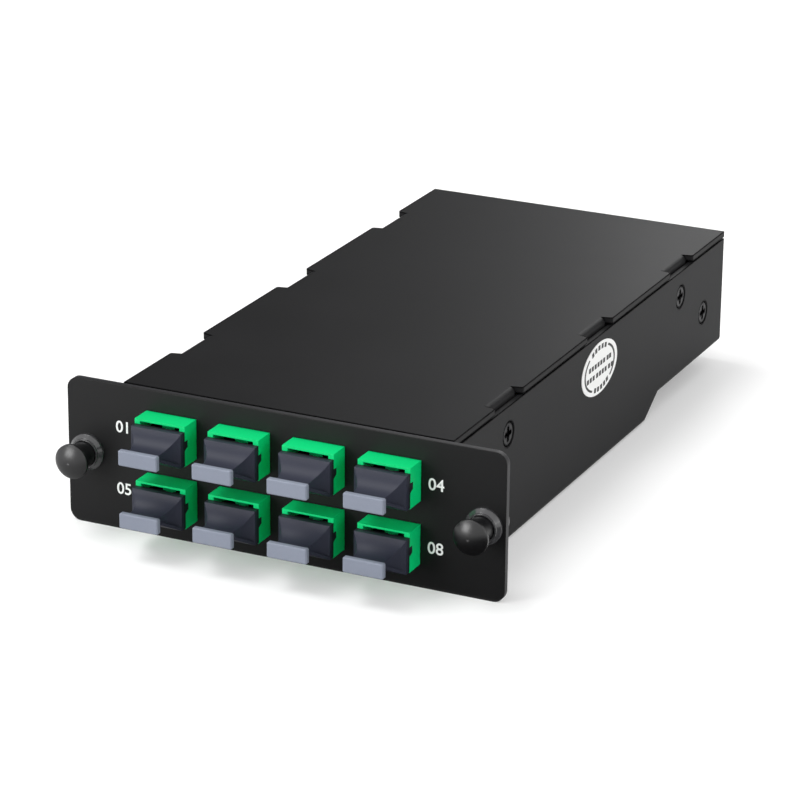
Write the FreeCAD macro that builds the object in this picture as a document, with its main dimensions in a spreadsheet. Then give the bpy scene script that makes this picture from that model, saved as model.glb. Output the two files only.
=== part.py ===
import FreeCAD, Part
import math
import os
import Sketcher
from types import SimpleNamespace

# Fibre cassette: a folded steel case with eight duplex adapters in its front panel.
# X runs across the panel, +Y runs back into the case and +Z is up.
# Each piece is drawn with Y = 0 on the panel's front face, and datum() moves it into place.

ROWS = ("a", "b")
COLUMNS = (1, 2, 3, 4)
SIDES = (-1, 1)
TONGUES = (0, 1, 2)
SCREW_SIDES = 16

SIZES = {
    # front panel
    "panel_width": 109.0,
    "panel_height": 35.0,
    "panel_sheet": 1.5,
    "panel_corner": 2.8,
    # case: tray and rear plate
    "panel_overhang": 13.5,
    "case_depth": 169.4,
    "case_sheet": 1.5,
    "case_fold": 1.4,
    "rear_lift": 5.0,
    "step_back": 51.9,
    "step_run": 8.5,
    "ear_width": 5.8,
    "sheet_gap": 0.1,
    "lid_seam": 0.4,
    "lid_front_gap": 0.6,
    "rear_flange": 20.0,
    # lid and the tongues that fold down inside the side walls
    "lid_sheet": 1.5,
    "lid_fold": 1.4,
    "tongue_first": 31.8,
    "tongue_last": 30.4,
    "tongue_length": 14.0,
    "tongue_drop": 13.5,
    "notch_flare": 0.8,
    "notch_corner": 0.6,
    # countersunk screws
    "screw_head": 6.0,
    "screw_shank": 2.9,
    "screw_length": 4.2,
    "screw_slot": 0.8,
    "screw_slot_depth": 1.0,
    "screw_clearance": 0.2,
    "tongue_screw_drop": 8.6,
    "rear_screw_inset": 13.6,
    "rear_screw_rise": 12.1,
    # oval paper seal over the middle screw of the right side
    "seal_length": 22.0,
    "seal_height": 13.0,
    "seal_sheet": 0.15,
    "seal_drop": 10.1,
    # adapters
    "port_margin": 0.5,
    "row_pitch": 15.0,
    "port_height": 17.7,
    "adapter_width": 12.7,
    "adapter_height": 9.5,
    "adapter_proud": 5.3,
    "adapter_length": 26.0,
    "adapter_gap": 0.1,
    "shoulder_step": 0.6,
    "shoulder_length": 1.5,
    "mouth_width": 10.0,
    "mouth_depth": 4.0,
    "mouth_roof": 0.5,
    "mouth_floor": 0.9,
    "wall_notch_depth": 1.4,
    "wall_notch_height": 1.7,
    "wall_notch_taper": 0.6,
    "socket_pitch": 6.25,
    "socket_size": 4.8,
    "socket_drop": 0.5,
    "socket_depth": 7.0,
    "latch_width": 3.0,
    "latch_height": 1.2,
    "barrel_width": 2.6,
    "barrel_length": 4.5,
    "sleeve_width": 1.7,
    "sleeve_length": 12.0,
    "sleeve_gap": 0.05,
    "sleeve_wall": 0.2,
    # dust caps
    "plug_gap": 0.15,
    "plug_length": 5.6,
    "lug_gap": 0.1,
    "plug_bore": 3.0,
    "cap_sheet": 1.8,
    "cap_height": 8.1,
    "cap_rise": 0.2,
    "neck_length": 5.1,
    "neck_width": 7.6,
    "neck_top": 3.5,
    "neck_bottom": 2.8,
    "gusset_sheet": 0.8,
    "grip_reach": 10.4,
    "grip_sheet": 1.4,
    "grip_width": 9.8,
    "grip_height": 3.6,
    "grip_rise": 2.0,
    "cap_edge": 0.25,
    # push-pull plungers and their grommets
    "plunger_inset": 5.0,
    "plunger_height": 17.5,
    "head_width": 8.2,
    "head_rim": 0.7,
    "head_dome_height": 1.4,
    "plunger_shank": 5.8,
    "plunger_travel": 5.0,
    "plunger_tip": 1.5,
    "tip_taper_width": 0.75,
    "collar_width": 6.9,
    "collar_height": 0.4,
    "flange_width": 8.6,
    "flange_sheet": 1.5,
    "flange_slope_length": 0.8,
    "barrel_wall": 0.55,
    "bore_gap": 0.15,
    "leg_length": 5.0,
    "leg_bulge": 0.2,
    "leg_slit": 0.8,
    "leg_solid": 2.0,
    # plate that holds the adapters against the panel
    "frame_sheet": 1.5,
    "rivet_width": 2.4,
    "rivet_head": 3.8,
    "rivet_rise": 9.0,
    # connectors, boots and fibre leads inside
    "ferrule_width": 1.2,
    "ferrule_length": 5.0,
    "connector_size": 4.5,
    "connector_insert": 6.8,
    "connector_length": 21.0,
    "clip_width": 12.0,
    "clip_height": 6.4,
    "clip_length": 8.0,
    "boot_length": 11.0,
    "boot_width": 3.4,
    "boot_end": 1.8,
    "lead_width": 0.9,
    "lane_pitch": 0.95,
    "lead_run": 8.0,
    # coil of spare fibre and the two splitter modules
    "coil_width": 8.0,
    "coil_height": 5.0,
    "coil_step_gap": 2.5,
    "clip_sheet": 1.0,
    "clip_band": 6.0,
    "module_width": 7.0,
    "module_height": 4.0,
    "module_length": 60.0,
    "module_gap": 2.4,
    "module_wall_gap": 1.1,
    "pad_height": 4.2,
    "pad_length": 22.0,
    "loop_end": 8.9,
    "loop_width": 2.4,
    "loop_straight": 6.0,
}

doc = FreeCAD.newDocument("fibre_cassette")
sheet = doc.addObject("Spreadsheet::Sheet", "Dims")
for line, (alias, number) in enumerate(SIZES.items(), start=1):
    sheet.set(f"A{line}", alias)
    sheet.set(f"B{line}", str(number))
    sheet.setAlias(f"B{line}", alias)
doc.recompute()


class Size:
    """A length: its value now and the sheet expression that keeps it up to date."""

    def __init__(self, value, text):
        self.value = value
        self.text = text

    def __add__(self, other):
        other = as_size(other)
        return Size(self.value + other.value, f"({self.text} + {other.text})")

    def __sub__(self, other):
        other = as_size(other)
        return Size(self.value - other.value, f"({self.text} - {other.text})")

    def __mul__(self, other):
        other = as_size(other)
        return Size(self.value * other.value, f"({self.text} * {other.text})")

    def __truediv__(self, other):
        other = as_size(other)
        return Size(self.value / other.value, f"({self.text} / {other.text})")

    def __neg__(self):
        return Size(-self.value, f"(0 - {self.text})")


def as_size(length):
    """Take a plain number as a Size."""
    if isinstance(length, Size):
        return length
    return Size(float(length), repr(float(length)))


d = SimpleNamespace(**{name: Size(float(sheet.get(name)), f"Dims.{name}") for name in SIZES})
ZERO = as_size(0)

# Faces and lines that several pieces share.
case_width = d.panel_width - d.panel_overhang * 2
case_half = case_width / 2
wall_inside = case_half - d.case_sheet
tongue_outside = wall_inside - d.sheet_gap
tongue_inside = tongue_outside - d.lid_sheet
lid_underside = d.panel_height - d.lid_sheet
rear_floor = d.rear_lift + d.case_sheet
step_from = d.case_depth - d.step_back
tongue_pitch = (d.case_depth - d.tongue_first - d.tongue_last) / 2
plunger_pitch = d.panel_width - d.plunger_inset * 2
shoulder_width = d.adapter_width + d.shoulder_step * 2
port_span = case_width - (d.ear_width + d.port_margin) * 2 - shoulder_width
port_pitch = port_span / (COLUMNS[-1] - COLUMNS[0])
adapter_back = d.adapter_length - d.adapter_proud
adapter_half = d.adapter_height / 2
shoulder_back = d.panel_sheet + d.shoulder_length
cap_back = -d.adapter_proud
cap_front = cap_back - d.cap_sheet
grip_front = cap_back - d.grip_reach
cap_bottom = d.cap_rise - adapter_half
cap_top = cap_bottom + d.cap_height
socket_front = d.mouth_depth - d.adapter_proud
socket_bottom = socket_front + d.socket_depth
connector_front = adapter_back - d.connector_insert
connector_back = connector_front + d.connector_length
boot_back = connector_back + d.boot_length
coil_top = d.case_sheet + d.coil_height
module_x = wall_inside - d.module_wall_gap - d.module_width / 2
coil_radius = module_x - d.module_width / 2 - d.module_gap - d.coil_width / 2
coil_from = step_from - coil_radius - d.coil_width / 2 - d.coil_step_gap
loop_radius = (module_x - d.loop_end) / 2
module_z = d.case_sheet + d.pad_height + d.module_height / 2
pieces = {}


def bind(obj, prop, length):
    """Tie a property of an object to a size."""
    obj.setExpression(prop, as_size(length).text)


def datum():
    """Where Y = 0 of the drawing lies, so that the finished part is centred on its origin."""
    return -(d.case_depth + grip_front) / 2


def place(obj, x=ZERO, y=ZERO, z=ZERO):
    """Put a piece's own origin at a point of the drawing."""
    bind(obj, "Placement.Base.x", x)
    bind(obj, "Placement.Base.y", as_size(y) + datum())
    bind(obj, "Placement.Base.z", z)


def new_body(name):
    body = doc.addObject("PartDesign::Body", name)
    body.Label = name
    return body


def origin_part(body, role):
    """Find one of a body's own origin planes or axes."""
    return next(part for part in body.Origin.OriginFeatures if part.Role == role)


def new_sketch(body, name, role, offset):
    sketch = body.newObject("Sketcher::SketchObject", f"{body.Label}_{name}_sketch")
    sketch.AttachmentSupport = [(origin_part(body, role), "")]
    sketch.MapMode = "FlatFace"
    away = -as_size(offset) if role == "XZ_Plane" else as_size(offset)
    bind(sketch, "AttachmentOffset.Base.z", away)
    return sketch


def hold_point(sketch, geometry, end, point):
    """Hold one point of a sketch at two sizes from the sketch's origin."""
    for kind, length in zip(("DistanceX", "DistanceY"), point):
        length = as_size(length)
        index = sketch.addConstraint(Sketcher.Constraint(kind, geometry, end, length.value))
        sketch.setExpression(f"Constraints[{index}]", length.text)


def hold_radius(sketch, geometry, radius):
    radius = as_size(radius)
    index = sketch.addConstraint(Sketcher.Constraint("Radius", geometry, radius.value))
    sketch.setExpression(f"Constraints[{index}]", radius.text)


def vector(point):
    return FreeCAD.Vector(as_size(point[0]).value, as_size(point[1]).value, 0)


def arc_between(start, end, radius, bulge):
    """A circular arc from start to end; bulge is 1 to pass left of the chord and -1 right."""
    chord = end - start
    left = FreeCAD.Vector(-chord.y, chord.x, 0).normalize()
    reach = math.sqrt(max(radius ** 2 - (chord.Length / 2) ** 2, 0.0))
    centre = (start + end) / 2 - left * reach * bulge
    middle = centre + left * radius * bulge
    return Part.Arc(start, middle, end)


def outline(sketch, points, arcs=None):
    """A closed outline; arcs gives {edge number: (radius, bulge)} for the edges that curve."""
    arcs = arcs or {}
    corners = [vector(point) for point in points]
    count = len(corners)
    first = sketch.GeometryCount
    ends = {}
    for i in range(count):
        start, end = corners[i], corners[(i + 1) % count]
        if i in arcs:
            radius, bulge = as_size(arcs[i][0]), arcs[i][1]
            curve = arc_between(start, end, radius.value, bulge)
            index = sketch.addGeometry(curve, False)
            turned = (sketch.getPoint(index, 1) - start).Length > 1e-6
            ends[i] = (2, 1) if turned else (1, 2)
            hold_radius(sketch, index, radius)
        else:
            sketch.addGeometry(Part.LineSegment(start, end), False)
            ends[i] = (1, 2)
    for i in range(count):
        after = (i + 1) % count
        joint = Sketcher.Constraint("Coincident", first + i, ends[i][1], first + after, ends[after][0])
        sketch.addConstraint(joint)
        hold_point(sketch, first + i, ends[i][0], points[i])


def rectangle(sketch, left, right, low, high):
    outline(sketch, [(left, low), (right, low), (right, high), (left, high)])


def circle(sketch, centre, radius):
    round_curve = Part.Circle(vector(centre), FreeCAD.Vector(0, 0, 1), as_size(radius).value)
    index = sketch.addGeometry(round_curve, False)
    hold_point(sketch, index, 3, centre)
    hold_radius(sketch, index, radius)


def polygon(sketch, centre, radius, sides=12):
    """A regular outline around a circle, for a small round piece."""
    points = []
    corner = radius / math.cos(math.pi / sides)
    for i in range(sides):
        angle = math.pi * (2 * i + 1) / sides
        across, up = corner * math.cos(angle), corner * math.sin(angle)
        points.append((across + centre[0], up + centre[1]))
    outline(sketch, points)


def square(sketch, centre, half):
    rectangle(sketch, centre[0] - half, centre[0] + half, centre[1] - half, centre[1] + half)


def extrude(body, name, role, start, length, draw, cut=False, spread=None):
    """Pad or pocket from start along the plane's positive axis, with the profile that draw makes.

    spread is how much wider than the profile, all round, the far end is.
    """
    sketch = new_sketch(body, name, role, start)
    draw(sketch)
    kind = "Pocket" if cut else "Pad"
    feature = body.newObject(f"PartDesign::{kind}", f"{body.Label}_{name}")
    feature.Profile = sketch
    bind(feature, "Length", length)
    feature.Reversed = (role == "XZ_Plane") != cut
    if spread is not None:
        feature.setExpression("TaperAngle", f"atan({spread.text} / {as_size(length).text})")
    return feature


def slab(body, name, start, end, *box, cut=False):
    """A rectangular block across X and Z, from one Y to another: box is left, right, low, high."""
    length = as_size(end) - start
    return extrude(body, name, "XZ_Plane", start, length, lambda s: rectangle(s, *box), cut)


def revolve(body, name, points, arcs=None):
    """Turn a profile of (radius, Y) points about the Y axis."""
    sketch = new_sketch(body, name, "XY_Plane", 0)
    outline(sketch, points, arcs)
    feature = body.newObject("PartDesign::Revolution", f"{body.Label}_{name}")
    feature.Profile = sketch
    feature.ReferenceAxis = (origin_part(body, "Y_Axis"), [""])
    feature.Angle = 360
    return feature


def treat_edges(body, kind, name, size_name, size, pick):
    """Fillet or chamfer the edges of the body so far that pick chooses."""
    doc.recompute()
    base = body.Tip
    names = [f"Edge{i}" for i, edge in enumerate(base.Shape.Edges, start=1) if pick(edge)]
    if not names:
        raise RuntimeError(f"{body.Label}: no edge for {name}")
    feature = body.newObject(f"PartDesign::{kind}", f"{body.Label}_{name}")
    feature.Base = (base, names)
    bind(feature, size_name, size)
    return feature


def fillet(body, name, radius, pick):
    return treat_edges(body, "Fillet", name, "Radius", radius, pick)


def chamfer(body, name, size, pick):
    return treat_edges(body, "Chamfer", name, "Size", size, pick)


def runs_along(edge, axis):
    """True for a straight edge along the named axis."""
    if not isinstance(edge.Curve, (Part.Line, Part.LineSegment)):
        return False
    return abs(getattr(edge.Curve.Direction, axis)) > 0.999


def lies_at(edge, **where):
    """True when the middle of an edge is at the given coordinates, in either sense of X."""
    middle = edge.CenterOfMass
    for axis, length in where.items():
        value = getattr(middle, axis)
        value = abs(value) if axis == "x" else value
        if abs(value - as_size(length).value) > 1e-3:
            return False
    return True


def copy_of(master, name):
    """Another piece of the same make."""
    link = doc.addObject("App::Link", name)
    link.LinkedObject = master
    link.Label = name
    return link


def piece(name, *objects):
    """Name what one node is made of."""
    pieces[name] = objects


def port_x(column):
    return port_pitch * (column - (COLUMNS[0] + COLUMNS[-1]) / 2)


def port_z(row):
    return d.port_height + d.row_pitch * (0.5 - ROWS.index(row))


def port_windows(sketch):
    """The eight openings that the adapters pass through."""
    for row in ROWS:
        for column in COLUMNS:
            x, z = port_x(column), port_z(row)
            half_width = d.adapter_width / 2 + d.adapter_gap
            half_height = adapter_half + d.adapter_gap
            rectangle(sketch, x - half_width, x + half_width, z - half_height, z + half_height)


def front_panel():
    body = new_body("front_panel")
    place(body)
    half = d.panel_width / 2
    slab(body, "plate", 0, d.panel_sheet, -half, half, 0, d.panel_height)
    extrude(body, "windows", "XZ_Plane", 0, d.panel_sheet, port_windows, cut=True)

    def plunger_holes(sketch):
        for side in SIDES:
            centre = (plunger_pitch / 2 * side, d.plunger_height)
            circle(sketch, centre, grommet_radius() + d.adapter_gap)

    extrude(body, "plunger_holes", "XZ_Plane", 0, d.panel_sheet, plunger_holes, cut=True)
    fillet(body, "corners", d.panel_corner, lambda e: runs_along(e, "y") and lies_at(e, x=half))
    piece("front_panel", body)


def tray_profile(shift, raise_by):
    """Side view of the tray's underside, moved up by a sheet for the inside."""
    slope = f"tan(atan({d.rear_lift.text} / {d.step_run.text}) / 2)"
    angle = math.atan2(d.rear_lift.value, d.step_run.value) / 2
    mitre = Size(math.tan(angle), slope) * raise_by
    foot = step_from - mitre
    head = step_from + d.step_run - mitre
    front, back = d.panel_sheet - shift, d.case_depth + shift
    low, high = raise_by, d.rear_lift + raise_by
    top = lid_underside - d.lid_seam + shift
    return [(front, low), (foot, low), (head, high), (back, high), (back, top), (front, top)]


def side_screws():
    """Y and Z of the screws in each side wall: three hold the lid and one the rear plate."""
    lid_height = d.panel_height - d.tongue_screw_drop
    places = [(d.tongue_first + tongue_pitch * i, lid_height) for i in TONGUES]
    places.append((d.case_depth - d.rear_screw_inset, d.rear_lift + d.rear_screw_rise))
    return places


def screw_sink():
    """How far a screw head lies below the wall's face when it seats in its countersink."""
    return d.screw_clearance - (d.screw_head / 2 - d.screw_shank / 2 - d.case_sheet)


def countersinks(body):
    """Conical holes through both side walls, flush with the screw heads."""
    narrow = d.screw_shank / 2 + d.screw_clearance
    wide = narrow + d.case_sheet
    walls = {"left": (-case_half, wide, -d.case_sheet), "right": (wall_inside, narrow, d.case_sheet)}
    for hand, (start, radius, spread) in walls.items():
        for number, centre in enumerate(side_screws(), start=1):
            extrude(body, f"{hand}_countersink_{number}", "YZ_Plane", start, d.case_sheet,
                    lambda s: polygon(s, centre, radius, SCREW_SIDES), True, spread)


def base_tray():
    body = new_body("base_tray")
    place(body)
    outside, inside = tray_profile(ZERO, ZERO), tray_profile(d.case_sheet, d.case_sheet)
    extrude(body, "shell", "YZ_Plane", -case_half, case_width, lambda s: outline(s, outside))
    fillet(body, "folds", d.case_fold,
           lambda e: abs(e.CenterOfMass.x) > wall_inside.value and e.CenterOfMass.z < rear_floor.value
           and abs(e.tangentAt(e.FirstParameter).x) < 0.5 and e.Length > d.case_sheet.value * 3)
    extrude(body, "inside", "YZ_Plane", -wall_inside, wall_inside * 2,
            lambda s: outline(s, inside), cut=True)

    def ears(sketch):
        for side in SIDES:
            inner = (case_half - d.ear_width) * side
            outer = (case_half - d.case_sheet / 2) * side
            low, high = d.case_sheet / 2, lid_underside
            left, right = (inner, outer) if side > 0 else (outer, inner)
            rectangle(sketch, left, right, low, high)

    extrude(body, "ears", "XZ_Plane", d.panel_sheet, d.case_sheet, ears)
    extrude(body, "rivet_holes", "XZ_Plane", d.panel_sheet, d.case_sheet, rivet_holes, cut=True)
    countersinks(body)
    piece("base_tray", body)


def rear_plate():
    """A channel between the side walls, with a flange along each."""
    body = new_body("rear_plate")
    place(body)
    back, front = d.case_depth, d.case_depth - d.rear_flange
    web_front = back - d.case_sheet
    low, high = rear_floor, lid_underside
    outer = tongue_outside
    inner = outer - d.case_sheet

    def channel(sketch):
        outline(sketch, [(-outer, back), (-outer, front), (-inner, front), (-inner, web_front),
                         (inner, web_front), (inner, front), (outer, front), (outer, back)])

    extrude(body, "channel", "XY_Plane", low, high - low, channel)
    fillet(body, "folds", d.case_fold, lambda e: runs_along(e, "z") and lies_at(e, x=outer, y=back))
    y, z = side_screws()[-1]
    threads(body, "threads", [(y, z)])
    piece("rear_plate", body)


def threads(body, name, places):
    """Screw holes through the sheet that lies inside each side wall."""

    def holes(sketch):
        for centre in places:
            polygon(sketch, centre, (d.screw_shank + d.screw_clearance) / 2, SCREW_SIDES)

    extrude(body, name, "YZ_Plane", -case_half, case_width, holes, cut=True)


def lid():
    body = new_body("lid")
    place(body)

    def plate(sketch):
        rectangle(sketch, -case_half, case_half, d.panel_sheet + d.lid_front_gap, d.case_depth)

    def notches(sketch):
        for i in TONGUES:
            for side in SIDES:
                middle = d.tongue_first + tongue_pitch * i
                half = d.tongue_length / 2
                inner, outer = tongue_inside * side, case_half * side
                wide = half + d.notch_flare
                outline(sketch, [(outer, middle - wide), (outer, middle + wide),
                                 (inner, middle + half), (inner, middle - half)])

    extrude(body, "plate", "XY_Plane", lid_underside, d.lid_sheet, plate)
    extrude(body, "notches", "XY_Plane", lid_underside, d.lid_sheet, notches, cut=True)
    low = d.panel_height - d.tongue_drop
    for i in TONGUES:
        start = d.tongue_first + tongue_pitch * i - d.tongue_length / 2
        for side, name in zip(SIDES, ("left", "right")):
            left = tongue_inside if side > 0 else -tongue_outside
            right = tongue_outside if side > 0 else -tongue_inside
            slab(body, f"{name}_tongue_{i + 1}", start, start + d.tongue_length,
                 left, right, low, d.panel_height)
    fillet(body, "folds", d.lid_fold,
           lambda e: runs_along(e, "y") and lies_at(e, x=tongue_outside, z=d.panel_height))
    fillet(body, "notch_corners", d.notch_corner,
           lambda e: runs_along(e, "z") and lies_at(e, x=case_half)
           and abs(e.CenterOfMass.y - d.case_depth.value) > 1 and e.CenterOfMass.y > d.tongue_drop.value)
    threads(body, "threads", side_screws()[:-1])
    piece("lid", body)


def screw_body():
    """A countersunk screw with a cross recess, drawn head up along its own +X."""
    body = new_body("side_screw")
    head, shank = d.screw_head / 2, d.screw_shank / 2
    cone = head - shank

    def section(sketch):
        polygon(sketch, (ZERO, ZERO), shank, SCREW_SIDES)

    extrude(body, "shank", "YZ_Plane", -d.screw_length, d.screw_length - cone, section)
    extrude(body, "head", "YZ_Plane", -cone, cone, section, spread=cone)
    slot, reach = d.screw_slot / 2, head * 0.58

    def cross(sketch):
        outline(sketch, [(-slot, -reach), (slot, -reach), (slot, -slot), (reach, -slot),
                         (reach, slot), (slot, slot), (slot, reach), (-slot, reach),
                         (-slot, slot), (-reach, slot), (-reach, -slot), (-slot, -slot)])

    extrude(body, "recess", "YZ_Plane", -d.screw_slot_depth, d.screw_slot_depth, cross, cut=True)
    return body


def screws():
    """The screws of both sides: those of the lid in one node and those of the rear plate in another."""
    master = screw_body()
    groups = {"lid_screws": side_screws()[:-1], "rear_screws": side_screws()[-1:]}
    for name, places in groups.items():
        made = []
        for number, (y, z) in enumerate(places, start=1):
            for side, hand in zip(SIDES, ("left", "right")):
                screw = copy_of(master, f"{name}_{hand}_{number}")
                place(screw, (case_half - screw_sink()) * side, y, z)
                if side < 0:
                    screw.Placement.Rotation = FreeCAD.Rotation(FreeCAD.Vector(0, 0, 1), 180)
                made.append(screw)
        piece(name, *made)


def seal_label():
    """Oval paper seal, stuck flat over the middle screw."""
    oval = doc.addObject("Part::Ellipse", "seal_outline")
    bind(oval, "MajorRadius", d.seal_length / 2)
    bind(oval, "MinorRadius", d.seal_height / 2)
    oval.Placement.Rotation = FreeCAD.Rotation(FreeCAD.Vector(1, 1, 1), 120)
    place(oval, case_half, d.tongue_first + tongue_pitch, d.panel_height - d.seal_drop)
    label = doc.addObject("Part::Extrusion", "seal_label")
    label.Label = "seal_label"
    label.Base = oval
    label.DirMode = "Custom"
    label.Dir = FreeCAD.Vector(1, 0, 0)
    bind(label, "LengthFwd", d.seal_sheet)
    label.Solid = True
    piece("seal_label", label)


def socket_places():
    """X of the two sockets of an adapter."""
    return [d.socket_pitch / 2 * side for side in SIDES]


def key_outline(gap):
    """Side view of the notch in an adapter's side walls, less a gap for the lug in it."""
    deep = cap_back + d.wall_notch_depth - gap
    top = d.wall_notch_height * 0.75 - gap
    low = d.wall_notch_height * -0.25 + gap
    return [(cap_back, top), (deep, top), (deep, low), (cap_back, low - d.wall_notch_taper)]


def adapter_body(name):
    """A duplex adapter, drawn with its own centre on X = Z = 0."""
    body = new_body(name)
    half = d.adapter_width / 2
    slab(body, "housing", -d.adapter_proud, adapter_back, -half, half, -adapter_half, adapter_half)
    rim_x, rim_z = half + d.shoulder_step, adapter_half + d.shoulder_step
    slab(body, "shoulder", d.panel_sheet, shoulder_back, -rim_x, rim_x, -rim_z, rim_z)
    mouth = d.mouth_width / 2
    slab(body, "mouth", -d.adapter_proud, socket_front, -mouth, mouth,
         d.mouth_floor - adapter_half, adapter_half - d.mouth_roof, cut=True)

    extrude(body, "wall_notch", "YZ_Plane", -half, d.adapter_width,
            lambda s: outline(s, key_outline(ZERO)), cut=True)

    def sockets(sketch):
        side, slot = d.socket_size / 2, d.latch_width / 2
        for x in socket_places():
            low, high = -side - d.socket_drop, side - d.socket_drop
            top = high + d.latch_height
            outline(sketch, [(x - side, low), (x + side, low), (x + side, high), (x + slot, high),
                             (x + slot, top), (x - slot, top), (x - slot, high), (x - side, high)])

    def barrels(sketch):
        for x in socket_places():
            square(sketch, (x, -d.socket_drop), d.barrel_width / 2)

    def bores(sketch):
        for x in socket_places():
            polygon(sketch, (x, -d.socket_drop), d.sleeve_width / 2, 6)

    back_socket = adapter_back - d.socket_depth
    extrude(body, "front_sockets", "XZ_Plane", cap_back, d.mouth_depth + d.socket_depth, sockets,
            cut=True)
    extrude(body, "back_sockets", "XZ_Plane", back_socket, d.socket_depth, sockets, cut=True)
    barrel_start = socket_bottom - d.barrel_length
    barrel_end = back_socket + d.barrel_length
    extrude(body, "barrels", "XZ_Plane", barrel_start, barrel_end - barrel_start, barrels)
    extrude(body, "bores", "XZ_Plane", barrel_start, barrel_end - barrel_start, bores, cut=True)
    return body


def cap_body(name):
    """A one-piece dust cap: plate, swept neck with a finger grip, and two hollow plugs."""
    body = new_body(name)
    half, neck = d.adapter_width / 2, d.neck_width / 2
    neck_front = cap_front - d.neck_length
    grip_back = grip_front + d.grip_sheet
    neck_top, neck_low = cap_top - d.neck_top, cap_bottom + d.neck_bottom

    # Side view of the plate and neck: the upper edge is one arc that runs out level.
    sweep = (d.neck_length * d.neck_length + d.neck_top * d.neck_top) / (d.neck_top * 2)

    def side_view(sketch):
        outline(sketch, [(cap_back, cap_bottom), (cap_back, cap_top), (cap_front, cap_top),
                         (neck_front, neck_top), (grip_back, neck_top), (grip_back, neck_low),
                         (neck_front, neck_low), (cap_front, cap_bottom)],
                {2: (sweep, 1)})

    extrude(body, "neck", "YZ_Plane", -half, d.adapter_width, side_view)

    # Plan view: each side of the neck is cut away along an arc that ends parallel to Y.
    narrowing = half - neck
    flare = (d.neck_length * d.neck_length + narrowing * narrowing) / (narrowing * 2)

    def flanks(sketch):
        for side in SIDES:
            outer, inner = half * side, neck * side
            outline(sketch, [(outer, cap_front), (inner, neck_front), (inner, grip_back),
                             (outer, grip_back)], {0: (flare, -side)})

    extrude(body, "flanks", "XY_Plane", cap_bottom, d.cap_height, flanks, cut=True)

    # The foot of the neck runs straight from the plate's lower corners to the neck.
    plate_end = new_sketch(body, "gusset_wide", "XZ_Plane", cap_front)
    rectangle(plate_end, -half, half, cap_bottom, cap_bottom + d.gusset_sheet)
    neck_end = new_sketch(body, "gusset_narrow", "XZ_Plane", neck_front)
    rectangle(neck_end, -neck, neck, neck_low, neck_low + d.gusset_sheet)
    gusset = body.newObject("PartDesign::AdditiveLoft", f"{name}_gusset")
    gusset.Profile = plate_end
    gusset.Sections = [neck_end]
    gusset.Ruled = True

    grip = d.grip_width / 2
    grip_low = d.grip_rise - adapter_half
    slab(body, "grip", grip_front, grip_back, -grip, grip, grip_low, grip_low + d.grip_height)
    plug = d.socket_size / 2 - d.plug_gap
    plug_end = socket_front + d.plug_length

    def plugs(sketch):
        for x in socket_places():
            rectangle(sketch, x - plug, x + plug, -plug - d.socket_drop, plug - d.socket_drop)

    def plug_bores(sketch):
        for x in socket_places():
            square(sketch, (x, -d.socket_drop), d.plug_bore / 2)

    extrude(body, "plugs", "XZ_Plane", cap_back, plug_end - cap_back, plugs)
    extrude(body, "plug_bores", "XZ_Plane", socket_front, d.plug_length, plug_bores, cut=True)

    # A lug on each side keys the cap into the notches of the adapter's side walls.
    for side, hand in zip(SIDES, ("left", "right")):
        inner = d.socket_pitch / 2 + plug
        start = inner if side > 0 else -half
        extrude(body, f"{hand}_lug", "YZ_Plane", start, half - inner,
                lambda s: outline(s, key_outline(d.lug_gap)))
    chamfer(body, "grip_edges", d.cap_edge,
            lambda e: lies_at(e, y=grip_front) or (runs_along(e, "y") and lies_at(e, x=grip)))
    return body


def ports():
    """Adapters, dust caps, sleeves, connectors and boots, one set behind each opening."""
    masters = {}
    makers = {"adapter": adapter_body, "dust_cap": cap_body, "connector": connector_body}
    groups = {"sleeve": [], "boot": []}
    sleeve, boot = sleeve_body(), boot_body()
    for row in ROWS:
        for column in COLUMNS:
            x, z = port_x(column), port_z(row)
            for kind, make in makers.items():
                name = f"{kind}_{row}{column}"
                if kind in masters:
                    made = copy_of(masters[kind], name)
                else:
                    made = masters[kind] = make(name)
                place(made, x, 0, z)
                piece(name, made)
            for offset in socket_places():
                for kind, master in (("sleeve", sleeve), ("boot", boot)):
                    made = copy_of(master, f"{kind}_{row}{column}_{len(groups[kind])}")
                    place(made, x + offset, 0, z - d.socket_drop)
                    groups[kind].append(made)
    piece("alignment_sleeves", *groups["sleeve"])
    piece("boots", *groups["boot"])


def sleeve_body():
    """An alignment sleeve in the middle of a socket's bore."""
    body = new_body("sleeve")
    middle = (socket_bottom + adapter_back - d.socket_depth) / 2
    start = middle - d.sleeve_length / 2
    outer = d.sleeve_width / 2 - d.sleeve_gap
    inner = outer - d.sleeve_wall
    centre = (ZERO, ZERO)
    extrude(body, "tube", "XZ_Plane", start, d.sleeve_length, lambda s: polygon(s, centre, outer, 6))
    extrude(body, "bore", "XZ_Plane", start, d.sleeve_length,
            lambda s: polygon(s, centre, inner, 6), cut=True)
    return body


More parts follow.
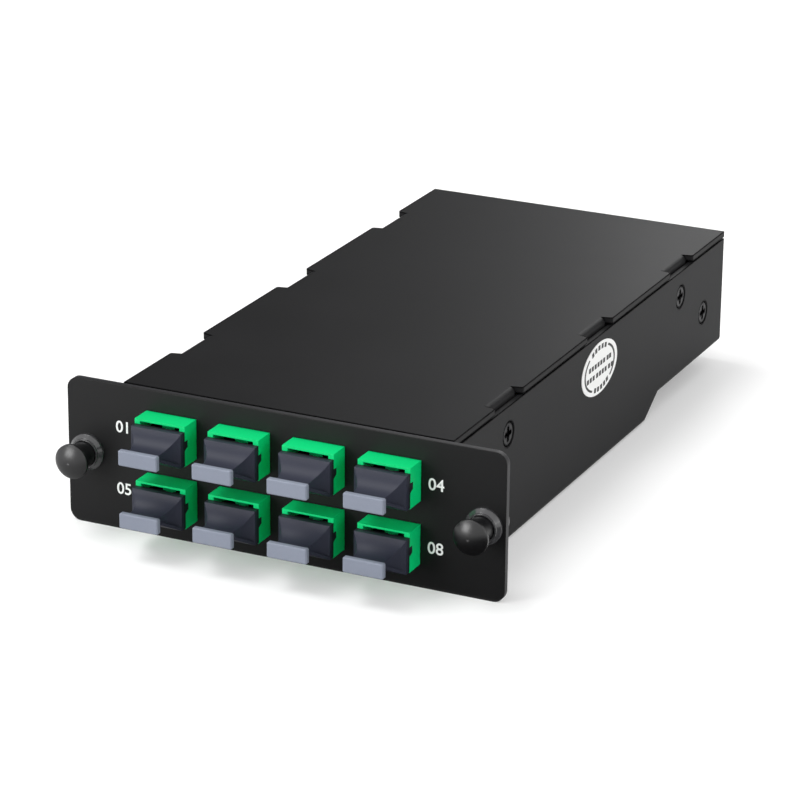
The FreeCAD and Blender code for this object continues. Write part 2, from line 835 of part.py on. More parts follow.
def connector_body(name):
    """A duplex connector that plugs into the back of an adapter, with its clip."""
    body = new_body(name)
    side = d.connector_size / 2

    def plugs(sketch):
        for x in socket_places():
            rectangle(sketch, x - side, x + side, -side - d.socket_drop, side - d.socket_drop)

    def wells(sketch):
        for x in socket_places():
            square(sketch, (x, -d.socket_drop), d.plug_bore / 2)

    def ferrules(sketch):
        for x in socket_places():
            polygon(sketch, (x, -d.socket_drop), d.ferrule_width / 2, 6)

    well = d.barrel_length + d.plug_gap
    extrude(body, "plugs", "XZ_Plane", connector_front, d.connector_length, plugs)
    extrude(body, "wells", "XZ_Plane", connector_front, well, wells, cut=True)
    ferrule_start = connector_front + well - d.ferrule_length
    extrude(body, "ferrules", "XZ_Plane", ferrule_start, d.ferrule_length, ferrules)
    clip_back = connector_back - d.case_sheet
    high = d.clip_height / 2
    slab(body, "clip", clip_back - d.clip_length, clip_back, -d.clip_width / 2, d.clip_width / 2,
         -high - d.socket_drop, high - d.socket_drop)
    return body


def boot_body():
    """A tapered boot behind a connector."""
    body = new_body("boot")
    taper = body.newObject("PartDesign::AdditiveWedge", "taper")
    bind(taper, "Ymin", connector_back)
    bind(taper, "Ymax", boot_back)
    for end, half in (("", d.boot_width / 2), ("2", d.boot_end / 2)):
        for axis in "XZ":
            bind(taper, f"{axis}{end}min", -half)
            bind(taper, f"{axis}{end}max", half)
    return body


def plunger_body(name):
    """Push-pull plunger: domed head, shank and tapered tip."""
    body = new_body(name)
    head, shank = d.head_width / 2, d.plunger_shank / 2
    back = -d.flange_sheet - d.collar_height - d.plunger_travel
    rim = back - d.head_rim
    dome = (head * head + d.head_dome_height * d.head_dome_height) / (d.head_dome_height * 2)
    tip = d.leg_length
    point = shank - d.tip_taper_width
    revolve(body, "turned", [(ZERO, rim - d.head_dome_height), (head, rim), (head, back), (shank, back),
                             (shank, tip - d.plunger_tip), (point, tip), (ZERO, tip)],
            {0: (dome, -1)})
    return body


def grommet_radius():
    return d.plunger_shank / 2 + d.bore_gap + d.barrel_wall


def grommet_body(name):
    """Grommet: sloping flange with a collar, and a split barrel through the panel."""
    body = new_body(name)
    bore, neck = d.plunger_shank / 2 + d.bore_gap, grommet_radius()
    barrel = neck + d.leg_bulge
    seat = d.panel_sheet + d.sheet_gap
    flange, collar = d.flange_width / 2, d.collar_width / 2
    face = -d.flange_sheet
    lead_in = d.barrel_wall / 2
    revolve(body, "turned", [(bore, face - d.collar_height), (collar, face - d.collar_height),
                             (collar, face), (flange, face + d.flange_slope_length),
                             (flange, ZERO), (neck, ZERO), (neck, seat), (barrel, seat),
                             (barrel, d.leg_length - lead_in),
                             (barrel - lead_in, d.leg_length), (bore, d.leg_length)])
    slit = d.leg_slit / 2
    wide = barrel * 2
    for name, lean in (("slit_right", 1), ("slit_left", -1)):
        # The slits run diagonally, so the barrel has a leg above, below and on either side.
        def diagonal(sketch, lean=lean):
            low, high = -wide, wide
            across = slit * math.sqrt(2)
            outline(sketch, [(low * lean - across, low), (low * lean + across, low),
                             (high * lean + across, high), (high * lean - across, high)])

        extrude(body, name, "XZ_Plane", d.leg_solid, d.leg_length - d.leg_solid, diagonal, cut=True)
    return body


def plungers():
    masters = {}
    makers = {"plunger": plunger_body, "grommet": grommet_body}
    for side, hand in zip(SIDES, ("left", "right")):
        for kind, make in makers.items():
            name = f"{kind}_{hand}"
            if kind in masters:
                made = copy_of(masters[kind], name)
            else:
                made = masters[kind] = make(name)
            place(made, plunger_pitch / 2 * side, 0, d.plunger_height)
            piece(name, made)


def rivet_places():
    """Rivets through the case's ears, two on each side."""
    x = wall_inside - d.rivet_head / 2 - d.sheet_gap * 2
    middle = d.port_height
    return [(x * side, middle + d.rivet_rise * up) for side in SIDES for up in SIDES]


def rivet_holes(sketch):
    for centre in rivet_places():
        polygon(sketch, centre, (d.rivet_width + d.sheet_gap) / 2)


def retaining_frame():
    """Plate behind the adapters' shoulders, which clamps them to the panel."""
    body = new_body("retaining_frame")
    place(body)
    low, high = d.case_sheet + d.sheet_gap, lid_underside - d.sheet_gap
    end = shoulder_back + d.frame_sheet
    slab(body, "plate", shoulder_back, end, -tongue_outside, tongue_outside, low, high)
    extrude(body, "windows", "XZ_Plane", shoulder_back, d.frame_sheet, port_windows, cut=True)
    extrude(body, "rivet_holes", "XZ_Plane", shoulder_back, d.frame_sheet, rivet_holes, cut=True)
    piece("retaining_frame", body)


def frame_rivets():
    """Four rivets that hold the frame to the case's ears."""
    master = new_body("rivet")
    start, end = d.panel_sheet, shoulder_back + d.frame_sheet
    centre = (ZERO, ZERO)
    extrude(master, "shank", "XZ_Plane", start, end - start,
            lambda s: polygon(s, centre, d.rivet_width / 2))
    extrude(master, "head", "XZ_Plane", end, d.rivet_width / 2,
            lambda s: polygon(s, centre, d.rivet_head / 2))
    made = []
    for number, (x, z) in enumerate(rivet_places(), start=1):
        rivet = copy_of(master, f"rivet_{number}")
        place(rivet, x, 0, z)
        made.append(rivet)
    piece("frame_rivets", *made)


def fibre_coil():
    """The ring of spare fibre that lies on the floor."""
    body = new_body("fibre_coil")
    place(body, 0, coil_from, d.case_sheet)
    outer = coil_radius + d.coil_width / 2
    inner = coil_radius - d.coil_width / 2
    extrude(body, "ring", "XY_Plane", 0, d.coil_height, lambda s: circle(s, (ZERO, ZERO), outer))
    extrude(body, "hole", "XY_Plane", 0, d.coil_height,
            lambda s: circle(s, (ZERO, ZERO), inner), cut=True)
    piece("fibre_coil", body)


def coil_clips():
    """Four clips that hold the coil down, one in front and three behind."""
    master = new_body("coil_clip")
    gap = d.sheet_gap
    coil_inside = coil_radius - d.coil_width / 2
    curve = d.clip_band * d.clip_band / (coil_inside * 8)
    inner = coil_inside - curve - gap
    outer = coil_radius + d.coil_width / 2 + gap
    top = d.coil_height + gap
    wall = d.clip_sheet
    half = d.clip_band / 2

    def arch(sketch):
        outline(sketch, [(inner - wall, ZERO), (inner, ZERO), (inner, top), (outer, top),
                         (outer, ZERO), (outer + wall, ZERO), (outer + wall, top + wall),
                         (inner - wall, top + wall)])

    extrude(master, "arch", "XZ_Plane", -half, d.clip_band, arch)
    made = []
    for angle in (45, 90, 135, 270):
        clip = copy_of(master, f"coil_clip_{angle}")
        place(clip, 0, coil_from, d.case_sheet)
        clip.Placement.Rotation = FreeCAD.Rotation(FreeCAD.Vector(0, 0, 1), angle)
        made.append(clip)
    piece("coil_clips", *made)


def splitter_modules():
    """Two splitter modules along the side walls, each on a foam pad."""
    start = coil_from - d.module_length / 2
    pads = []
    for side, letter in zip(SIDES, ROWS):
        body = new_body(f"splitter_module_{letter}")
        place(body, module_x * side, start, module_z)
        wide, high = d.module_width / 2, d.module_height / 2
        slab(body, "case", 0, d.module_length, -wide, wide, -high, high)
        chamfer(body, "edges", high / 4, lambda e: runs_along(e, "y"))
        piece(f"splitter_module_{letter}", body)
        pad = new_body(f"foam_pad_{letter}")
        place(pad, module_x * side, coil_from - d.pad_length / 2, d.case_sheet)
        slab(pad, "block", 0, d.pad_length, -wide, wide, 0, d.pad_height)
        pads.append(pad)
    piece("foam_pads", *pads)


def numbers(*lengths):
    return FreeCAD.Vector(*[as_size(length).value for length in lengths])


def lead(points, width):
    """A plain lead along straight runs; it starts along Y."""
    ring = []
    for i in range(7):
        angle = math.pi * (2 * i + 1) / 6
        spoke = FreeCAD.Vector(math.cos(angle), 0, math.sin(angle)) * (width / 2)
        ring.append(points[0] + spoke)
    section = Part.makePolygon(ring)
    return Part.makePolygon(points).makePipeShell([section], True, False, 1)


def fibre_leads():
    """Sixteen buffered leads from the boots to their lanes on top of the coil."""
    leads = []
    lane_z = coil_top + d.lead_width / 2
    y_start = boot_back + datum()
    y_lane, y_end = coil_from - d.coil_width + datum(), coil_from + datum()
    for side in SIDES:
        sources = sorted(
            ((abs((port_x(column) + offset).value), -ROWS.index(row), row, column, offset)
             for row in ROWS for column in COLUMNS for offset in socket_places()
             if (port_x(column) + offset).value * side > 0),
            key=lambda source: source[:2])
        for lane, (_, _, row, column, offset) in enumerate(sources):
            x, z = port_x(column) + offset, port_z(row) - d.socket_drop
            lane_x = (coil_radius + d.lane_pitch * (lane - (len(sources) - 1) / 2)) * side
            points = [numbers(x, y_start, z), numbers(x, y_start + d.lead_run, z),
                      numbers(lane_x, y_lane, lane_z), numbers(lane_x, y_end, lane_z)]
            leads.append(lead(points, d.lead_width.value))
    feature = doc.addObject("Part::Feature", "fibre_leads")
    feature.Label = "fibre_leads"
    feature.Shape = Part.makeCompound(leads)
    piece("fibre_leads", feature)


def splitter_leads():
    """A U-shaped loop from the back of each module to the top of the coil."""
    loops = []
    y_module = coil_from + d.module_length / 2
    y_turn = y_module + d.loop_straight
    y_end = coil_from + coil_radius
    for side in SIDES:
        outer = module_x * side
        inner = (module_x - loop_radius * 2) * side
        z = coil_top + d.loop_width / 2
        points = [numbers(outer, y_module + datum(), z)]
        for i in range(7):
            angle = math.pi * i / 6
            across = (outer + inner) / 2 + loop_radius * math.cos(angle) * side
            points.append(numbers(across, y_turn + datum() + loop_radius * math.sin(angle), z))
        points.append(numbers(inner, y_end + datum(), z))
        loops.append(lead(points, d.loop_width.value))
    feature = doc.addObject("Part::Feature", "splitter_leads")
    feature.Label = "splitter_leads"
    feature.Shape = Part.makeCompound(loops)
    piece("splitter_leads", feature)


def export():
    """Check every object, then write each piece to its own file."""
    doc.recompute()
    for obj in doc.Objects:
        faults = {"Invalid", "Error"} & set(obj.State)
        if faults:
            raise RuntimeError(f"{obj.Label} is {', '.join(sorted(faults))}")
    os.makedirs("parts", exist_ok=True)
    for name, objects in pieces.items():
        shapes = [Part.getShape(obj) for obj in objects]
        shape = shapes[0] if len(shapes) == 1 else Part.makeCompound(shapes)
        if shape.isNull() or not shape.isValid() or shape.Volume <= 0:
            raise RuntimeError(f"{name} has no valid solid")
        shape.exportStep(f"parts/{name}.step")
        print(f"{name}: {len(shape.Solids)} solid(s), {shape.Volume:.1f} mm3")


front_panel()
base_tray()
rear_plate()
lid()
screws()
seal_label()
retaining_frame()
frame_rivets()
ports()
plungers()
fibre_coil()
coil_clips()
splitter_modules()
fibre_leads()
splitter_leads()
export()
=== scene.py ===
import math
import bpy
from mathutils import Euler, Matrix, Vector


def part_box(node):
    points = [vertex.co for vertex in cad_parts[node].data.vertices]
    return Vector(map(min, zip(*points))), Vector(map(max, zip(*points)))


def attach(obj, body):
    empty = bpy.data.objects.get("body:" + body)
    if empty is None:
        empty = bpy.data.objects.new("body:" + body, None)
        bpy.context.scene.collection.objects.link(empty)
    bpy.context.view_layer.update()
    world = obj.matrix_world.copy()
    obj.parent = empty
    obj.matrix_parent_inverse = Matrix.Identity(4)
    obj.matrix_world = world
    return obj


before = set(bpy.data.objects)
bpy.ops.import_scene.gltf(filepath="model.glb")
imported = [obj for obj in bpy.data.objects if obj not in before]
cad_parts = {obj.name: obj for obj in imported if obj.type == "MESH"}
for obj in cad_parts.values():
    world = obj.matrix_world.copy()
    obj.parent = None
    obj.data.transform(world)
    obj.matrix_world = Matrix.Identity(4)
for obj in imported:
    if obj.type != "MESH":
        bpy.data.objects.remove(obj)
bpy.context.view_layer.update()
bpy.ops.object.select_all(action="DESELECT")

MM = 0.001
QUARTER_TURN = math.radians(90)
WHITE = (1, 1, 1, 1)
PANEL_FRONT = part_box("front_panel")[0][1]
PORTS = [f"{row}{column}" for row in "ab" for column in (1, 2, 3, 4)]

# Every finish varies with one pattern: a slow drift with a share of the fine grain in it.
DRIFT_SIZE = 25 * MM
GRAIN_SHARE = 0.35
PATTERN_LOW, PATTERN_HIGH = 0.3, 0.7
# The length over which a piece changes from one colour to the next.
COLOUR_BLEND = 0.2 * MM
# How well the rounded and the flat normal agree where the painted edge shade starts, and where
# it is full.
EDGE_SHADE_START, EDGE_SHADE_FULL = 0.995, 0.9
# The sockets of the mix node share their names, so they are reached by their numbers.
NUMBER_A, NUMBER_B, COLOUR_A, COLOUR_B = 2, 3, 6, 7
MIXED_NUMBER, MIXED_COLOUR = 0, 2


def linear(code):
    """Turn an sRGB hex colour into the linear colour that Blender works in."""
    parts = [int(code[i:i + 2], 16) / 255 for i in (1, 3, 5)]
    return [c / 12.92 if c <= 0.04045 else ((c + 0.055) / 1.055) ** 2.4 for c in parts] + [1.0]


def add(tree, kind, sockets=None, **settings):
    """Add a node, with its settings, and with its sockets set or linked."""
    node = tree.nodes.new(kind)
    for name, value in settings.items():
        setattr(node, name, value)
    for name, value in (sockets or {}).items():
        if isinstance(value, bpy.types.NodeSocket):
            tree.links.new(value, node.inputs[name])
        else:
            node.inputs[name].default_value = value
    return node


def empty_tree(owner):
    """Turn on the nodes of a material or a world, and clear them."""
    owner.use_nodes = True
    owner.node_tree.nodes.clear()
    return owner.node_tree


def surface(name, dark, light, rough, grain_mm, relief_mm, edge_mm=0.0, painted_edge_shade=None, parts=(),
            specular=0.5, metallic=0.0):
    """A moulded, coated or turned surface.

    dark and light are the two ends of its slight colour drift, rough is the range of its
    roughness, grain_mm the size of its texture, relief_mm the texture's depth, and edge_mm
    the radius that catches the light along its edges. The edge shade argument gives painted
    shade right at the edges, as its colour and its reach in mm, and takes the sheen away there.
    parts lists (y, dark, light) for the lengths of a piece that start behind y and have
    colours of their own, which here are painted light and painted shade.
    """
    material = bpy.data.materials.new(name)
    tree = empty_tree(material)
    place = add(tree, "ShaderNodeTexCoord").outputs["Object"]
    drift = add(tree, "ShaderNodeTexNoise",
                {"Vector": place, "Scale": 1 / DRIFT_SIZE, "Detail": 3.0}).outputs["Fac"]
    grain = add(tree, "ShaderNodeTexNoise",
                {"Vector": place, "Scale": 1 / (grain_mm * MM), "Detail": 4.0,
                 "Roughness": 0.6}).outputs["Fac"]
    pattern = add(tree, "ShaderNodeMix", {"Factor": GRAIN_SHARE, NUMBER_A: drift,
                                          NUMBER_B: grain}).outputs[MIXED_NUMBER]

    colour = None
    for start, low, high in ((None, dark, light), *parts):
        ramp = add(tree, "ShaderNodeValToRGB", {"Fac": pattern})
        ends = ramp.color_ramp.elements
        ends[0].position, ends[0].color = PATTERN_LOW, linear(low)
        ends[1].position, ends[1].color = PATTERN_HIGH, linear(high)
        if start is None:
            colour = ramp.outputs["Color"]
            continue
        along = add(tree, "ShaderNodeSeparateXYZ", {"Vector": place}).outputs["Y"]
        reached = add(tree, "ShaderNodeMapRange", {"Value": along, "From Min": start,
                                                   "From Max": start + COLOUR_BLEND})
        joined = add(tree, "ShaderNodeMix",
                     {"Factor": reached.outputs["Result"], COLOUR_A: colour,
                      COLOUR_B: ramp.outputs["Color"]}, data_type="RGBA")
        colour = joined.outputs[MIXED_COLOUR]

    # Painted shade along the edges: a darker colour and no sheen where the rounded normal turns
    # from the flat one.
    if painted_edge_shade:
        edge_shade_colour, reach_mm = painted_edge_shade
        rounded = add(tree, "ShaderNodeBevel", {"Radius": reach_mm * MM}, samples=6)
        flat = add(tree, "ShaderNodeNewGeometry").outputs["Normal"]
        agreement = add(tree, "ShaderNodeVectorMath", {0: rounded.outputs["Normal"], 1: flat},
                        operation="DOT_PRODUCT").outputs["Value"]
        edge_shade_mask = add(tree, "ShaderNodeMapRange", {"Value": agreement, "From Min": EDGE_SHADE_START,
                                                "From Max": EDGE_SHADE_FULL}).outputs["Result"]
        edge_shaded = add(tree, "ShaderNodeMix",
                    {"Factor": edge_shade_mask, COLOUR_A: colour, COLOUR_B: linear(edge_shade_colour)},
                    data_type="RGBA")
        colour = edge_shaded.outputs[MIXED_COLOUR]
        specular = add(tree, "ShaderNodeMapRange", {"Value": edge_shade_mask, "To Min": specular,
                                                    "To Max": 0.0}).outputs["Result"]

    gloss = add(tree, "ShaderNodeMapRange",
                {"Value": pattern, "From Min": PATTERN_LOW, "From Max": PATTERN_HIGH,
                 "To Min": rough[0], "To Max": rough[1]})
    bump = {"Height": grain, "Strength": 1.0, "Distance": relief_mm * MM}
    if edge_mm:
        soft_edge = add(tree, "ShaderNodeBevel", {"Radius": edge_mm * MM}, samples=4)
        bump["Normal"] = soft_edge.outputs["Normal"]
    relief = add(tree, "ShaderNodeBump", bump)
    shaded = add(tree, "ShaderNodeBsdfPrincipled",
                 {"Base Color": colour, "Roughness": gloss.outputs["Result"],
                  "Normal": relief.outputs["Normal"], "Specular IOR Level": specular,
                  "Metallic": metallic})
    add(tree, "ShaderNodeOutputMaterial", {"Surface": shaded.outputs["BSDF"]})
    return material


def finish_nodes():
    """Give every solid of the cassette its finish."""
    # Sprayed and baked polyester: fine orange peel, with a thin line of painted shade at the
    # edges.
    coat = surface("Powder coated steel", "#1b1b1c", "#202021", (0.45, 0.49), 0.7, 0.012, 0.3,
                   painted_edge_shade=("#030303", 0.7), specular=0.07)
    # The same coat on the panel, painted darker than the case as shade, and with a painted
    # highlight: the cut edges behind its face are painted paler.
    panel_highlight_from = PANEL_FRONT + 0.25 * MM
    panel = surface("Powder coated panel", "#0f0f10", "#131314", (0.45, 0.49), 0.7, 0.012, 0.3,
                    parts=((panel_highlight_from, "#262628", "#303032"),), specular=0.26)
    # Zinc plate under black passivation: dull heads, with painted shade at their edges and in
    # their recesses.
    screw = surface("Black zinc steel", "#141416", "#1a1a1d", (0.25, 0.35), 0.3, 0.004, 0.3,
                    painted_edge_shade=("#020202", 1.1), specular=0.12)
    # Paper sticker with a matt clear film.
    paper = surface("Label paper", "#f4f4f3", "#f9f9f8", (0.55, 0.68), 0.25, 0.003)
    # Injection moulded glass-filled nylon: strong green, satin.
    green = surface("Moulded green nylon", "#00cb74", "#00dd81", (0.4, 0.5), 0.5, 0.004, 0.15,
                    specular=0.2)
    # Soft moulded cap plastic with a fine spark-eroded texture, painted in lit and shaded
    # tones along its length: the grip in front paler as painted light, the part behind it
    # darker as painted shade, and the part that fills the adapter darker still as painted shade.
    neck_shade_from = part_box("dust_cap_a1")[0][1] + 1.1 * MM
    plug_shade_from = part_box("adapter_a1")[0][1] - 0.9 * MM
    grey = surface("Moulded grey polyethylene", "#7b818f", "#838997", (0.42, 0.52), 0.3, 0.006,
                   0.2, specular=0.2,
                   parts=((neck_shade_from, "#282b37", "#30323f"), (plug_shade_from, "#1b1c21", "#212228")))
    # Moulded black nylon, satin: a broad soft highlight high on the dome.
    nylon = surface("Moulded black nylon", "#0a0a0b", "#101012", (0.28, 0.34), 2.0, 0.004,
                    0.35, specular=0.7)
    # The grommets' flanges, polished by the tool, with a sharper sheen, and painted paler as a
    # painted highlight.
    flange = surface("Polished black nylon", "#363638", "#3e3e40", (0.12, 0.18), 2.0, 0.002,
                     0.35, specular=0.9)
    # The pieces inside the case.
    ceramic = surface("Zirconia", "#eeeee6", "#f6f6f0", (0.12, 0.2), 1.0, 0.001)
    boot = surface("White boot rubber", "#d8d8d4", "#e4e4e0", (0.6, 0.75), 0.4, 0.006)
    jacket = surface("Yellow fibre jacket", "#d8b81e", "#e4c630", (0.4, 0.5), 0.4, 0.004)
    clip = surface("White nylon clip", "#dcdcd8", "#e8e8e4", (0.45, 0.55), 0.4, 0.004, 0.15)
    steel = surface("Drawn stainless steel", "#9b9da0", "#aeb0b3", (0.25, 0.38), 0.3, 0.003,
                    0.15, metallic=1.0)
    foam = surface("Grey foam", "#3c3d40", "#5a5b5f", (0.85, 0.95), 0.9, 0.15)
    rivet = surface("Aluminium rivet", "#a6a8ab", "#b6b8bb", (0.3, 0.42), 0.4, 0.003, 0.1,
                    metallic=1.0)
    finishes = {
        "front_panel": panel, "base_tray": coat, "rear_plate": coat, "lid": coat,
        "retaining_frame": coat, "lid_screws": screw, "rear_screws": screw,
        "seal_label": paper, "frame_rivets": rivet, "alignment_sleeves": ceramic,
        "boots": boot, "fibre_leads": jacket, "fibre_coil": jacket, "splitter_leads": jacket,
        "coil_clips": clip, "foam_pads": foam, "splitter_module_a": steel,
        "splitter_module_b": steel, "plunger_left": nylon, "plunger_right": nylon,
        "grommet_left": flange, "grommet_right": flange,
    }
    for port in PORTS:
        finishes[f"adapter_{port}"] = green
        finishes[f"dust_cap_{port}"] = grey
        finishes[f"connector_{port}"] = green
    for name, material in finishes.items():
        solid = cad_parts[name]
        solid.data.materials.clear()
        solid.data.materials.append(material)


def settle(piece, name, material, body="cassette"):
    """Put a finished piece's place into its mesh, and let it ride on its body."""
    bpy.context.view_layer.objects.active = piece
    bpy.ops.object.transform_apply(location=True, rotation=True, scale=True)
    piece.name = name
    piece.data.materials.clear()
    piece.data.materials.append(material)
    bpy.ops.object.select_all(action="DESELECT")
    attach(piece, body)


def port_marks(ink):
    """Plain printed numbers beside the first and last port of each row."""
    before_ports, after_ports = -42.1 * MM, 35.9 * MM
    size, boldness, thickness, drop = 3.9 * MM, 0.05 * MM, 0.02 * MM, 1.6 * MM
    for mark, port, left in (("01", "a1", before_ports), ("04", "a4", after_ports),
                             ("05", "b1", before_ports), ("08", "b4", after_ports)):
        low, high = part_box(f"adapter_{port}")
        bpy.ops.object.text_add(rotation=(QUARTER_TURN, 0, 0))
        number = bpy.context.object
        number.data.body = mark
        number.data.size = size
        number.data.offset = boldness
        number.data.extrude = thickness
        number.location = (left, PANEL_FRONT, (low[2] + high[2]) / 2 - drop)
        bpy.ops.object.convert(target="MESH")
        settle(number, f"port_mark_{mark}", ink)


def thicken(piece):
    """Give a flat print the thickness of its ink."""
    solid = piece.modifiers.new("ink", "SOLIDIFY")
    solid.thickness = 0.03 * MM
    solid.offset = 1.0
    bpy.context.view_layer.objects.active = piece
    bpy.ops.object.modifier_apply(modifier=solid.name)


def seal_blocks(ink, middle, half_y, half_z):
    """Two rows and two arcs of small blocks, placed by fractions of the seal's half sizes."""
    block_size = 1.2 * MM
    rows = ((0.17, (-0.56, -0.40, -0.24, -0.08, 0.08, 0.24, 0.44, 0.58)),
            (-0.22, (-0.66, -0.5, -0.34, -0.14, 0.02, 0.18, 0.34, 0.54, 0.70)))
    arc_radius, arc_blocks, arcs = 0.8, 5, ((68, 120), (253, 303))

    blocks = [(along, up, 0.0) for up, places in rows for along in places]
    for first, last in arcs:
        for step in range(arc_blocks):
            angle = math.radians(first + (last - first) * step / (arc_blocks - 1))
            heading = math.atan2(half_z * math.cos(angle), -half_y * math.sin(angle))
            blocks.append((arc_radius * math.cos(angle), arc_radius * math.sin(angle), heading))

    # The first block starts the piece, and the others are added to its mesh.
    marks = None
    upright = Matrix.Rotation(QUARTER_TURN, 3, "Y")
    for along, up, turn in blocks:
        bpy.ops.mesh.primitive_plane_add(
            size=block_size, location=middle + Vector((0, along * half_y, up * half_z)),
            rotation=(Matrix.Rotation(turn, 3, "X") @ upright).to_euler())
        if marks is None:
            marks = bpy.context.object
            bpy.ops.object.transform_apply(location=True, rotation=True, scale=True)
            bpy.ops.object.mode_set(mode="EDIT")
    bpy.ops.object.mode_set(mode="OBJECT")
    thicken(marks)
    settle(marks, "seal_blocks", ink)


def seal_line(number, first, last, ink, middle, half_y, half_z):
    """A thin line along the seal's edge, from first to last in degrees."""
    points, outside, inside = 120, 0.86, (0.92, 0.91, 1)
    bpy.ops.mesh.primitive_circle_add(vertices=points, radius=1, location=(0, 0, 0))
    line = bpy.context.object
    bpy.ops.object.mode_set(mode="EDIT")
    bpy.ops.mesh.select_all(action="DESELECT")
    bpy.ops.object.mode_set(mode="OBJECT")
    # The points outside the line's span go, and an angle may lie in it a full turn lower.
    for vertex in line.data.vertices:
        angle = math.degrees(math.atan2(vertex.co.y, vertex.co.x)) % 360
        vertex.select = not (first <= angle <= last or first <= angle - 360 <= last)
    bpy.ops.object.mode_set(mode="EDIT")
    bpy.ops.mesh.delete(type="VERT")
    bpy.ops.mesh.select_all(action="SELECT")
    bpy.ops.mesh.extrude_edges_move()
    bpy.ops.transform.resize(value=inside, center_override=(0, 0, 0))
    bpy.ops.object.mode_set(mode="OBJECT")
    line.matrix_world = (
        Matrix.Translation(middle)
        @ Matrix.Rotation(QUARTER_TURN, 4, "Z") @ Matrix.Rotation(QUARTER_TURN, 4, "X")
        @ Matrix.Diagonal((half_y * outside, half_z * outside, 1, 1)))
    bpy.ops.object.transform_apply(location=True, rotation=True, scale=True)
    thicken(line)
    settle(line, f"seal_line_{number}", ink)


def seal_print(ink):
    """The seal's print: small blocks, with two thin lines along its edge."""
    low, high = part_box("seal_label")
    middle = Vector((high[0], (low[1] + high[1]) / 2, (low[2] + high[2]) / 2))
    half_y, half_z = (high[1] - low[1]) / 2, (high[2] - low[2]) / 2
    seal_blocks(ink, middle, half_y, half_z)
    seal_line(1, -46, 58, ink, middle, half_y, half_z)
    seal_line(2, 134, 242, ink, middle, half_y, half_z)


def seen_directly(tree):
    """A socket that is 1 for camera, glossy and transmission rays, and 0 for the others."""
    path = add(tree, "ShaderNodeLightPath").outputs
    seen = path["Is Camera Ray"]
    for ray in ("Is Glossy Ray", "Is Transmission Ray"):
        seen = add(tree, "ShaderNodeMath", {0: seen, 1: path[ray]},
                   operation="MAXIMUM").outputs["Value"]
    return seen


def floor():
    """A wide pale floor that keeps the cassette's shadow and fades into the white behind."""
    grey, lift_when_seen = (0.75, 0.75, 0.75, 1), 0.26
    bpy.ops.mesh.primitive_plane_add(size=12, location=(0, 0, 0))
    ground = bpy.context.object
    ground.name = "floor"
    material = bpy.data.materials.new("White studio floor")
    tree = empty_tree(material)
    lift = add(tree, "ShaderNodeMath", {0: seen_directly(tree), 1: lift_when_seen},
               operation="MULTIPLY")
    matt = add(tree, "ShaderNodeBsdfDiffuse", {"Color": grey})
    glow = add(tree, "ShaderNodeEmission", {"Color": WHITE, "Strength": lift.outputs["Value"]})
    both = add(tree, "ShaderNodeAddShader", {0: matt.outputs[0], 1: glow.outputs[0]})
    add(tree, "ShaderNodeOutputMaterial", {"Surface": both.outputs[0]})
    ground.data.materials.append(material)
    bpy.ops.object.select_all(action="DESELECT")


def studio():
    """White surroundings, one broad soft sun from above, and three softboxes."""
    level_as_light, level_when_seen = 0.72, 1.0
    world = bpy.data.worlds.new("Studio")
    bpy.context.scene.world = world
    tree = empty_tree(world)
    level = add(tree, "ShaderNodeMapRange",
                {"Value": seen_directly(tree), "To Min": level_as_light,
                 "To Max": level_when_seen})
    back = add(tree, "ShaderNodeBackground",
               {"Color": WHITE, "Strength": level.outputs["Result"]})
    add(tree, "ShaderNodeOutputWorld", {"Surface": back.outputs["Background"]})

    sun = bpy.data.lights.new("overhead", "SUN")
    sun.energy = 1.35
    sun.angle = math.radians(32)
    lamp = bpy.data.objects.new("overhead", sun)
    lamp.rotation_euler = Euler((math.radians(6), math.radians(-24), 0))
    bpy.context.collection.objects.link(lamp)

    # Name, place and width in metres, and power in watts.
    softboxes = (("front_softbox", (-0.3, -0.55, 0.2), 0.3, 1.6),
                 ("side_softbox", (0.8, -0.35, 0.35), 0.4, 1.6),
                 ("rear_softbox", (-0.02, 0.5, 0.22), 0.25, 0.6))
    target = Vector((0, 0, 0.02))
    for name, place, width, power in softboxes:
        light = bpy.data.lights.new(name, "AREA")
        light.size = width
        light.energy = power
        lamp = bpy.data.objects.new(name, light)
        lamp.location = place
        lamp.rotation_euler = (target - Vector(place)).to_track_quat("-Z", "Y").to_euler()
        bpy.context.collection.objects.link(lamp)


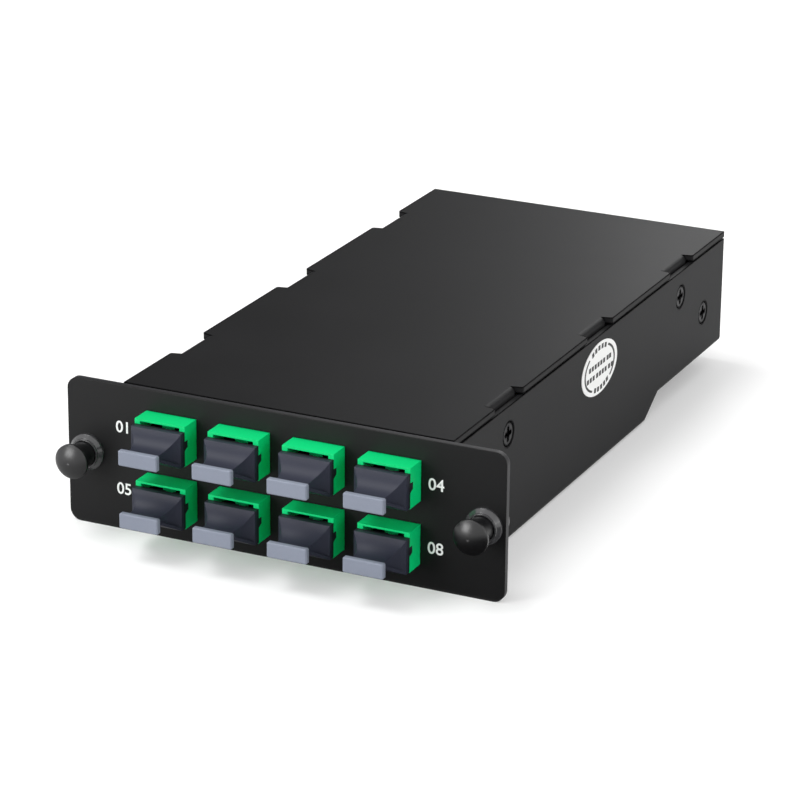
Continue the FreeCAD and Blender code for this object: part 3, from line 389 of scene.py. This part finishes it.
def graded_card(name, centre, tilt, size, way, start, end, brightest):
    """A card that only gloss sees, dark before start and brightest from end on, along way."""
    darkest = 0.02
    bpy.ops.mesh.primitive_plane_add(size=size, location=centre, rotation=(tilt, 0, 0))
    card = bpy.context.object
    card.name = name
    material = bpy.data.materials.new(name)
    tree = empty_tree(material)
    place = add(tree, "ShaderNodeTexCoord").outputs["Object"]
    along = add(tree, "ShaderNodeVectorMath", {0: place, 1: way}, operation="DOT_PRODUCT")
    level = add(tree, "ShaderNodeMapRange",
                {"Value": along.outputs["Value"], "From Min": start, "From Max": end,
                 "To Min": darkest, "To Max": brightest})
    glow = add(tree, "ShaderNodeEmission", {"Color": WHITE, "Strength": level.outputs["Result"]})
    add(tree, "ShaderNodeOutputMaterial", {"Surface": glow.outputs[0]})
    card.data.materials.append(material)
    card.visible_camera = card.visible_diffuse = card.visible_shadow = False
    bpy.ops.object.select_all(action="DESELECT")


def camera():
    """A long lens, above the panel's right end."""
    turn, tip, roll = math.radians(25.17), math.radians(20.48), math.radians(0.57)
    lens = bpy.data.cameras.new("camera")
    lens.lens = 156.0
    lens.sensor_width = 36.0
    view = bpy.data.objects.new("camera", lens)
    view.location = (327.7 * MM, PANEL_FRONT - 635.8 * MM, 305.5 * MM)
    aim = Euler((QUARTER_TURN - tip, 0, turn)).to_matrix()
    level = Euler((0, 0, roll)).to_matrix()
    view.rotation_euler = (aim @ level).to_euler()
    bpy.context.collection.objects.link(view)
    bpy.context.scene.camera = view


camera()
finish_nodes()
port_marks(surface("White screen print", "#ececec", "#f4f4f4", (0.5, 0.6), 0.3, 0.002))
seal_print(surface("Black label print", "#1a1a1a", "#242424", (0.5, 0.6), 0.3, 0.002))
floor()
studio()
# A card behind the cassette grades the lid, and one on the floor in front grades the panel.
graded_card("back_card", centre=(-0.3, 0.6, 1.2), tilt=QUARTER_TURN, size=2.4, way=(1, 0, 0),
            start=-0.09, end=0.13, brightest=0.7)
graded_card("front_card", centre=(-0.05, PANEL_FRONT - 0.25, 0.0005), tilt=0.0, size=0.5,
            way=(-0.707, -0.707, 0), start=-0.225, end=-0.115, brightest=1.0)

bpy.context.scene.view_settings.view_transform = "Standard"
